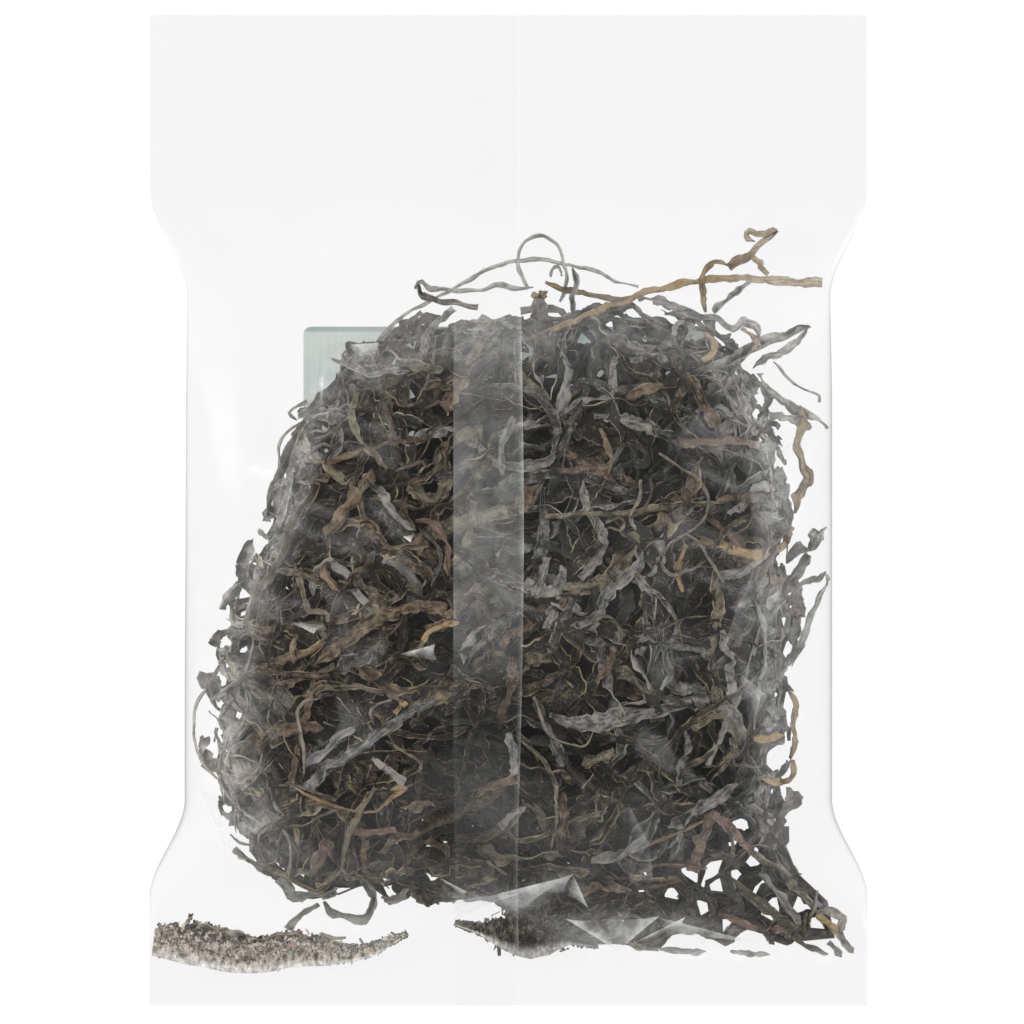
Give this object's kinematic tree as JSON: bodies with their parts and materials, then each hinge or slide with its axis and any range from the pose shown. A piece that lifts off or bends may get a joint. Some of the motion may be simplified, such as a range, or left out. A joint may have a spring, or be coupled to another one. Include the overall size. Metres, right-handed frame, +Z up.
{
  "type": "bag of dried kelp strips",
  "caption": "Clear sealed pillow bag full of tangled dried kelp strips, lying on its label with the back seam up, for storing and serving dried seaweed.",
  "frame": {"origin": "under the middle of the bag's outline, at the height of the label's outer face", "axes": "+Z up, out through the back seam; +Y along the bag towards its empty top end; +X across the bag, to the right when the bag is seen from above with its empty end away"},
  "size_m": [0.181, 0.25, 0.047],
  "materials": {
    "clear_film": "clear glossy film over dark grey-brown kelp strips",
    "dried_kelp": "matt, crinkled dried seaweed, grey-brown with paler cut edges",
    "label_paper": "satin coated paper in plain pale green fields"
  },
  "bodies": {
    "root": {"bag": "clear_film", "label": "label_paper"}
  },
  "joints": []
}
